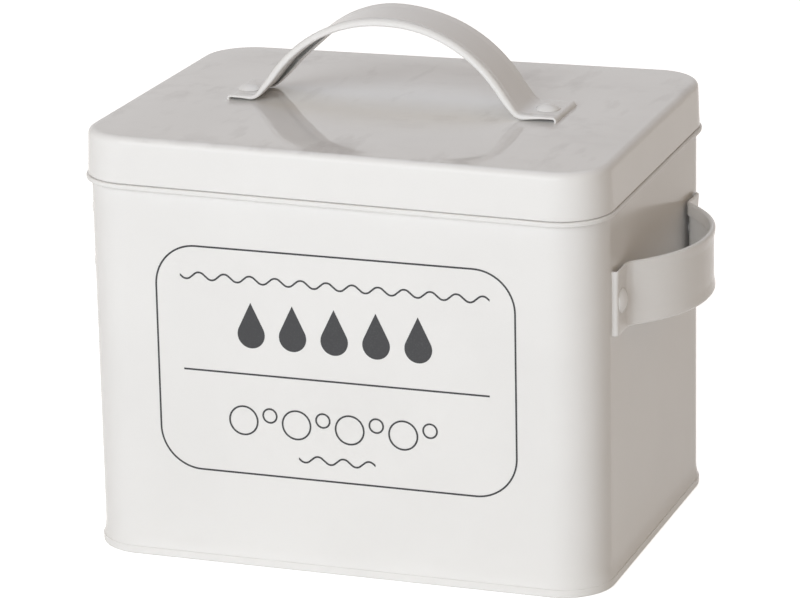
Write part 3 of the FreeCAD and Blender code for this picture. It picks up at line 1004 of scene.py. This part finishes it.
@dataclass(frozen=True)
class StrapHandle:
    """An arched strap: rolled long edges, flat feet and turned-down tips.

    Attributes:
        node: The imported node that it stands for.
        seat: The face that it stands on.
        finish: The coat.
        leg_angle: Slope of its legs in degrees.
        foot_length: Length of a foot, from its tip to its bend.
        foot_bend: Radius between a foot and its leg.
        arch_roll: Thickness of the open roll along the arch.
        shift: How far the whole strap stands off the middle.
        trims: How much shorter its first and its last foot are than when packed.
        leans: Places where it leans out of true.
        brow: Share of the open roll's thickness that its upper rounding takes.
        gauge: Thickness of the sheet.
        foot_rise: Height of the feet's outer face.
        lip_bend: Radius where a tip turns down.
        crown_flat: Half length of the flat at the crown.
        foot_roll: Thickness of the pressed-flat hem at a foot.
        roll_from: Distance from the tip where the roll starts to open.
        roll_to: Distance from the tip where it is fully open.
        foot_dish: Hollow of the face at a foot.
        arch_dish: Hollow of the face along the arch.
        crest: Width of the crest beside each roll.
        slope: Width over which the face sinks to its hollow.
        flow: Radius of the face's soft bends.
        flange: How far the rolled edge reaches back underneath.
        pitch: Longest step from one section to the next.
        bend_steps: Pieces that each bend along it is divided into.
        edge_steps: Pieces that each bend across it is divided into.
    """

    node: str
    seat: Seat
    finish: bpy.types.Material
    leg_angle: float = 48.0
    foot_length: float = 13.4
    foot_bend: float = 7.0
    arch_roll: float = 2.5
    shift: float = 0.0
    trims: tuple[float, float] = (0.0, 0.0)
    leans: tuple[Lean, ...] = ()
    brow: float = 0.5
    gauge: float = 0.5
    foot_rise: float = 2.8
    lip_bend: float = 1.8
    crown_flat: float = 1.0
    foot_roll: float = 1.1
    roll_from: float = 6.0
    roll_to: float = 30.0
    foot_dish: float = 0.3
    arch_dish: float = 0.6
    crest: float = 0.8
    slope: float = 3.6
    flow: float = 6.0
    flange: float = 6.0
    pitch: float = 1.6
    bend_steps: int = 18
    edge_steps: int = 6

    def strap(self) -> bpy.types.Object:
        """Build the strap.

        Returns:
            The strap, on its seat.
        """
        length, width, rise = self.seat.extent(self.node)
        first, last = (self._route(length / 2, rise, trim) for trim in self.trims)
        line = [Vector((-point.x, point.y)) for point in reversed(first[1:])] + last
        travelled = [0.0]
        for start, end in zip(line, line[1:]):
            travelled.append(travelled[-1] + (end - start).length)
        rings = []
        for index, spot in enumerate(line):
            along = (line[min(index + 1, len(line) - 1)] - line[max(index - 1, 0)]).normalized()
            outwards = Vector((-along.y, along.x))
            from_tip = min(travelled[index], travelled[-1] - travelled[index])
            open_share = ease(from_tip, self.roll_from, self.roll_to)
            lift = sum(lean.at(spot.x) for lean in self.leans)
            ring = []
            for point in self._section(width, open_share):
                lifted = spot + outwards * point.y
                lean = lift * (0.5 + point.x / width)
                ring.append(Vector((lifted.x + self.shift, point.x, lifted.y + lean)))
            rings.append(ring)
        skin = Skin()
        skin.loft(rings)
        skin.cap(rings[0])
        skin.cap(rings[-1])
        return skin.piece(f"{self.node}_strap", self.finish, self.seat.place(self.node, rise))

    def _route(self, reach: float, rise: float, trim: float) -> list[Vector]:
        """Draw the outer face's line from the crown to one tip.

        Args:
            reach: Distance along from the crown to the tip.
            rise: Height of the crown.
            trim: How much shorter the foot is.

        Returns:
            The line's points, along and outwards.
        """
        angle = math.radians(self.leg_angle)
        foot_corner = reach - self.foot_length - self.foot_bend * math.tan(angle / 2)
        shoulder = foot_corner - (rise - self.foot_rise) / math.tan(angle)
        arch = (shoulder - self.crown_flat) / math.tan(angle / 2)
        corners = [
            Corner(0, rise),
            Corner(shoulder, rise, arch),
            Corner(foot_corner, self.foot_rise, self.foot_bend),
            Corner(reach - trim, self.foot_rise, self.lip_bend),
            Corner(reach - trim, 0),
        ]
        return refine(follow(corners, closed=False, steps=self.bend_steps), self.pitch)

    def _section(self, width: float, open_share: float) -> list[Vector]:
        """Draw the strap's section, across and outwards.

        Args:
            width: The strap's width.
            open_share: 0 where the hem is pressed flat and 1 where the roll is fully open.

        Returns:
            A closed ring of points.
        """
        edge, gauge = width / 2, self.gauge
        roll = self.foot_roll + (self.arch_roll - self.foot_roll) * open_share
        upper = roll * (0.5 + (self.brow - 0.5) * open_share)
        under = roll - upper
        dish = self.foot_dish + (self.arch_dish - self.foot_dish) * open_share
        crest = edge - self.arch_roll / 2 - self.crest
        web = crest - self.slope
        half = [
            Corner(0, -dish),
            Corner(web, -dish, self.flow),
            Corner(crest, 0, self.flow),
            Corner(edge, 0, upper),
            Corner(edge, -roll, under),
            Corner(edge - self.flange, -roll),
            Corner(edge - self.flange, gauge - roll),
            Corner(edge - gauge, gauge - roll, under - gauge),
            Corner(edge - gauge, -gauge, upper - gauge),
            Corner(crest, -gauge, self.flow),
            Corner(web, -gauge - dish, self.flow),
            Corner(0, -gauge - dish),
        ]
        right = follow(half, closed=False, steps=self.edge_steps)
        left = [Vector((-point.x, point.y)) for point in reversed(right[1:-1])]
        return right + left


@dataclass(frozen=True)
class Rivet:
    """A domed rivet, painted over with the piece that it holds.

    Attributes:
        name: The piece's name.
        node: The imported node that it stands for.
        seat: The face that it goes through.
        finish: The coat.
        sit: Height of the strap's face under its head.
        head_radius: Radius of the head.
        head_height: Height of the head.
        rim: Thickness of the head at its edge.
        rim_round: Radius of the rim's two edges.
        shoulder: How far inside the rim the dome ends.
        shoulder_drop: How far the rim's upper edge lies below the dome's end.
        shank: Radius of the shank.
        sheet: Thickness of the sheet behind the face.
        tail_radius: Radius of the tail.
        tail_height: Height of the tail.
        tail_round: Radius of the tail's edge.
        turns: Pieces that it is divided into, all round.
        dome_steps: Pieces that the dome is divided into, from its crown.
        bend_steps: Pieces that each bend is divided into.
    """

    name: str
    node: str
    seat: Seat
    finish: bpy.types.Material
    sit: float = 2.5
    head_radius: float = 5.6
    head_height: float = 2.4
    rim: float = 0.45
    rim_round: float = 0.12
    shoulder: float = 0.2
    shoulder_drop: float = 0.1
    shank: float = 2.0
    sheet: float = 0.5
    tail_radius: float = 3.4
    tail_height: float = 1.0
    tail_round: float = 0.5
    turns: int = 48
    dome_steps: int = 14
    bend_steps: int = 5

    def rivet(self) -> bpy.types.Object:
        """Turn the rivet's outline round its axis.

        Returns:
            The rivet, on its seat.
        """
        angles = [2 * math.pi * turn / self.turns for turn in range(self.turns)]
        rings = []
        for point in self._outline():
            rings.append([Vector((point.x * math.cos(a), point.x * math.sin(a), point.y)) for a in angles])
        skin = Skin()
        skin.loft(rings)
        place = self.seat.place(self.node, self.sit + self.head_height)
        return skin.piece(self.name, self.finish, place)

    def _outline(self) -> list[Vector]:
        """Draw half the rivet, from the head's crown to the middle of its tail.

        Returns:
            The outline's points, from the axis and outwards from the face.
        """
        dome = self._dome()
        tail_face = -self.sheet - self.tail_height
        corners = [
            Corner(dome[-1].x, dome[-1].y),
            Corner(self.head_radius, self.sit + self.rim - self.shoulder_drop, self.rim_round),
            Corner(self.head_radius, self.sit, self.rim_round),
            Corner(self.shank, self.sit),
            Corner(self.shank, -self.sheet),
            Corner(self.tail_radius, -self.sheet),
            Corner(self.tail_radius, tail_face, self.tail_round),
            Corner(0, tail_face),
        ]
        return dome[:-1] + follow(corners, closed=False, steps=self.bend_steps)

    def _dome(self) -> list[Vector]:
        """Draw the head's dome.

        Returns:
            Its points, from its crown nearly to its rim.
        """
        rise = self.head_height - self.rim
        reach = self.head_radius - self.shoulder
        radius = (reach**2 + rise**2) / (2 * rise)
        spread = math.asin(reach / radius)
        crown = self.sit + self.head_height
        angles = [spread * step / self.dome_steps for step in range(self.dome_steps + 1)]
        return [Vector((radius * math.sin(a), crown - radius * (1 - math.cos(a)))) for a in angles]


# The studio ----------------------------------------------------------------------


@dataclass(frozen=True)
class Softbox:
    """A large soft lamp.

    Attributes:
        name: The lamp's name.
        azimuth: Which way it stands from the box, in degrees from the front towards the right.
        elevation: How high it stands, in degrees.
        distance: Distance from the box in metres.
        width: Its width in metres.
        height: Its height in metres.
        power: Its power in watts.
        colour: Its colour.
    """

    name: str
    azimuth: float
    elevation: float
    distance: float
    width: float
    height: float
    power: float
    colour: Colour

    def hang(self, aim: Vector) -> bpy.types.Object:
        """Hang the lamp so that it faces a point.

        Args:
            aim: The point, in metres.

        Returns:
            The hung lamp.
        """
        lamp = bpy.data.lights.new(self.name, "AREA")
        lamp.shape = "RECTANGLE"
        lamp.size, lamp.size_y = self.width, self.height
        lamp.energy = self.power
        lamp.color = self.colour
        azimuth, elevation = math.radians(self.azimuth), math.radians(self.elevation)
        level = math.cos(elevation)
        away = Vector((math.sin(azimuth) * level, -math.cos(azimuth) * level, math.sin(elevation)))
        hung = add_object(self.name, lamp)
        hung.location = aim + away * self.distance
        hung.rotation_euler = away.to_track_quat("Z", "Y").to_euler()
        hung.visible_camera = False
        return hung


@dataclass(frozen=True)
class Studio:
    """A plain pale floor, soft lamps and the camera.

    Attributes:
        floor_half: Half the floor's side in metres.
        floor_drop: How far the floor lies below the box's foot, in metres.
        floor_colour: Colour of the floor as it lights the box.
        floor_patch: Distance between the floor's paler patches in metres.
        floor_pale: How many times paler they are.
        floor_glow: Level that a shaded floor keeps for the camera.
        dim: Light of the surroundings on the box.
        lamps: The soft lamps.
        camera_place: The camera's place in metres.
        camera_turn: Its turn to the left of straight ahead, in degrees.
        camera_dip: How far it looks down, in degrees.
        camera_roll: Its roll in degrees.
        lens: Focal length in millimetres on a full frame.
    """

    floor_half: float = 6.0
    floor_drop: float = 0.0001
    floor_colour: Colour = (0.88, 0.88, 0.87)
    floor_patch: float = 0.3
    floor_pale: float = 1.02
    floor_glow: float = 0.76
    dim: Colour = (0.30, 0.238, 0.176)
    lamps: tuple[Softbox, ...] = (
        Softbox(
            "key_softbox",
            azimuth=-7.0,
            elevation=20.0,
            distance=2.4,
            width=2.0,
            height=2.0,
            power=44.7,
            colour=(0.87, 0.935, 1.0),
        ),
        Softbox(
            "top_fill",
            azimuth=190.0,
            elevation=66.0,
            distance=2.4,
            width=1.6,
            height=1.6,
            power=9.0,
            colour=(0.52, 0.70, 1.0),
        ),
    )
    camera_place: tuple[float, float, float] = (0.6432, -1.8035, 0.6964)
    camera_turn: float = 19.65
    camera_dip: float = 17.26
    camera_roll: float = -1.16
    lens: float = 197.41

    def set_up(self, aim: Vector) -> None:
        """Lay the floor, light the scene and stand the camera.

        Args:
            aim: The point that the lamps face, in metres.
        """
        self._lay_floor()
        self._light_world()
        for lamp in self.lamps:
            lamp.hang(aim)
            log.info("lamp %s hung", lamp.name)
        self._stand_camera()
        bpy.context.scene.view_settings.view_transform = "Standard"

    @staticmethod
    def _seen_directly(graph: Graph) -> Signal:
        """Tell what is seen from what only lights the box.

        Args:
            graph: The nodes that it is for.

        Returns:
            1 for what the camera, a reflection or a clear pane shows, and 0 for light on the box.
        """
        kinds = ("Is Camera Ray", "Is Glossy Ray", "Is Transmission Ray")
        camera, glossy, through = (graph.node("ShaderNodeLightPath", output=kind) for kind in kinds)
        return (camera + glossy + through).at_most(1.0)

    def _lay_floor(self) -> None:
        """Lay a wide plain floor that looks white where it isn't shaded."""
        finish, graph, place = start_finish("floor_paper")
        paler = tuple(min(1.0, share * self.floor_pale) for share in self.floor_colour)
        paper = graph.blend(graph.grain(place, self.floor_patch), self.floor_colour, paler)
        matt = graph.node("ShaderNodeBsdfDiffuse", None, {"Color": paper})
        glow = {"Color": (1.0, 1.0, 1.0, 1.0), "Strength": self.floor_glow}
        light = graph.node("ShaderNodeEmission", None, glow)
        lit = graph.node("ShaderNodeAddShader", None, {0: matt, 1: light})
        surface = graph.node("ShaderNodeMixShader", None, {0: self._seen_directly(graph), 1: matt, 2: lit})
        graph.node("ShaderNodeOutputMaterial", None, {"Surface": surface})
        half, level = self.floor_half, -self.floor_drop
        corners = [(x * half, y * half, level) for x, y in ((-1, -1), (1, -1), (1, 1), (-1, 1))]
        mesh = bpy.data.meshes.new("floor")
        mesh.from_pydata(corners, [], [(0, 1, 2, 3)])
        mesh.materials.append(finish)
        add_object("floor", mesh)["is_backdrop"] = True

    def _light_world(self) -> None:
        """Surround the scene with dim light that is seen as white."""
        world = bpy.data.worlds.new("surroundings")
        world.use_nodes = True
        bpy.context.scene.world = world
        graph = Graph(world.node_tree)
        colour = graph.blend(self._seen_directly(graph), self.dim, (1.0, 1.0, 1.0))
        light = graph.node("ShaderNodeBackground", None, {"Color": colour, "Strength": 1.0})
        graph.node("ShaderNodeOutputWorld", None, {"Surface": light})

    def _stand_camera(self) -> None:
        """Stand the camera in front of the box, to the right and a little above it."""
        camera = bpy.data.cameras.new("camera")
        camera.lens = self.lens
        stand = add_object("camera", camera)
        turn = Matrix.Rotation(math.radians(self.camera_turn), 4, "Z")
        dip = Matrix.Rotation(math.radians(90 - self.camera_dip), 4, "X")
        roll = Matrix.Rotation(math.radians(self.camera_roll), 4, "Z")
        stand.matrix_world = Matrix.Translation(self.camera_place) @ turn @ dip @ roll
        bpy.context.scene.camera = stand


# Fitting -------------------------------------------------------------------------


class Fitter:
    """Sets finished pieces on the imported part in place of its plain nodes."""

    def __init__(self, frame: dict[str, Any]) -> None:
        """Note which body each node belongs to.

        Args:
            frame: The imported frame.
        """
        bodies = frame["record"]["behaviour"]["bodies"]
        self._nodes = frame["nodes"]
        self._body = {node: body for body, nodes in bodies.items() for node in nodes}

    def fit(self, piece: bpy.types.Object, node: str) -> None:
        """Let a piece stand for a node.

        Args:
            piece: The finished piece.
            node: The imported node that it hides.
        """
        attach(piece, self._body[node])
        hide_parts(node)
        log.info("%s fitted for %s, %d faces", piece.name, node, len(piece.data.polygons))

    def dress(self, node: str, finish: bpy.types.Material) -> None:
        """Give a node that stays its finish.

        Args:
            node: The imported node.
            finish: Its material.
        """
        piece = self._nodes[node]
        if not piece.material_slots:
            piece.data.materials.append(finish)
        for held in piece.material_slots:
            held.material = finish
        log.info("%s dressed", node)


def main() -> None:
    """Build the box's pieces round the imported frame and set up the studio."""
    logging.basicConfig(level=logging.INFO, format="%(name)s: %(message)s")
    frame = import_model()
    packed_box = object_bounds()
    fitter = Fitter(frame)

    tin_coat = PowderCoat("tin_coat", mirror=1.18).material()
    # The lid's top gets darker cloudy marks: handling smudges, with painted reflection of blurry dark
    # surroundings.
    marks_from = (node_box("lid")[1].z - Lid.smudge_reflection_drop) * MM
    lid_coat = PowderCoat("lid_coat", gloss=0.01, smudge_reflection_strength=0.50, smudge_reflection_from=marks_from).material()
    handle_coat = PowderCoat("handle_coat", gloss=0.20).material()
    rivet_coat = PowderCoat("rivet_coat", gloss=0.22).material()

    low, high = node_box("body_wall")
    reach = 2 * Tin.bead_reach
    plan = Plan(high.x - low.x - reach, high.y - low.y - reach)
    tin = Tin(plan, tin_coat)
    fitter.fit(tin.wall(), "body_wall")
    fitter.fit(tin.bottom(), "bottom_panel")
    fitter.fit(Lid(plan, lid_coat).shell(), "lid")

    lid_bends = {"leg_angle": 55.0, "foot_length": 13.1, "foot_bend": 5.0, "arch_roll": 3.3}
    bent_by_hand = {
        "shift": -0.9,
        "trims": (2.7, -2.0),
        "leans": (
            Lean(place=-45.0, lift=-2.9, spread=12.5),
            Lean(place=-7.0, lift=1.05, spread=16.5),
        ),
        "brow": 0.72,
    }
    straps = [
        StrapHandle("lid_handle", Seat.LID_TOP, handle_coat, **lid_bends, **bent_by_hand),
        StrapHandle("side_handle_right", Seat.RIGHT_END, handle_coat),
        StrapHandle("side_handle_left", Seat.LEFT_END, handle_coat),
    ]
    for strap in straps:
        fitter.fit(strap.strap(), strap.node)

    rivets = {Seat.LID_TOP: ("lid_rivet_left", "lid_rivet_right")}
    for side, seat in (("left", Seat.LEFT_END), ("right", Seat.RIGHT_END)):
        rivets[seat] = (f"side_rivet_{side}_front", f"side_rivet_{side}_rear")
    for seat, nodes in rivets.items():
        for node in nodes:
            fitter.fit(Rivet(f"{node}_head", node, seat, rivet_coat).rivet(), node)

    fitter.dress("front_print", PrintInk().material())

    Studio().set_up((packed_box[0] + packed_box[1]) / 2)


if __name__ == "__main__":
    main()
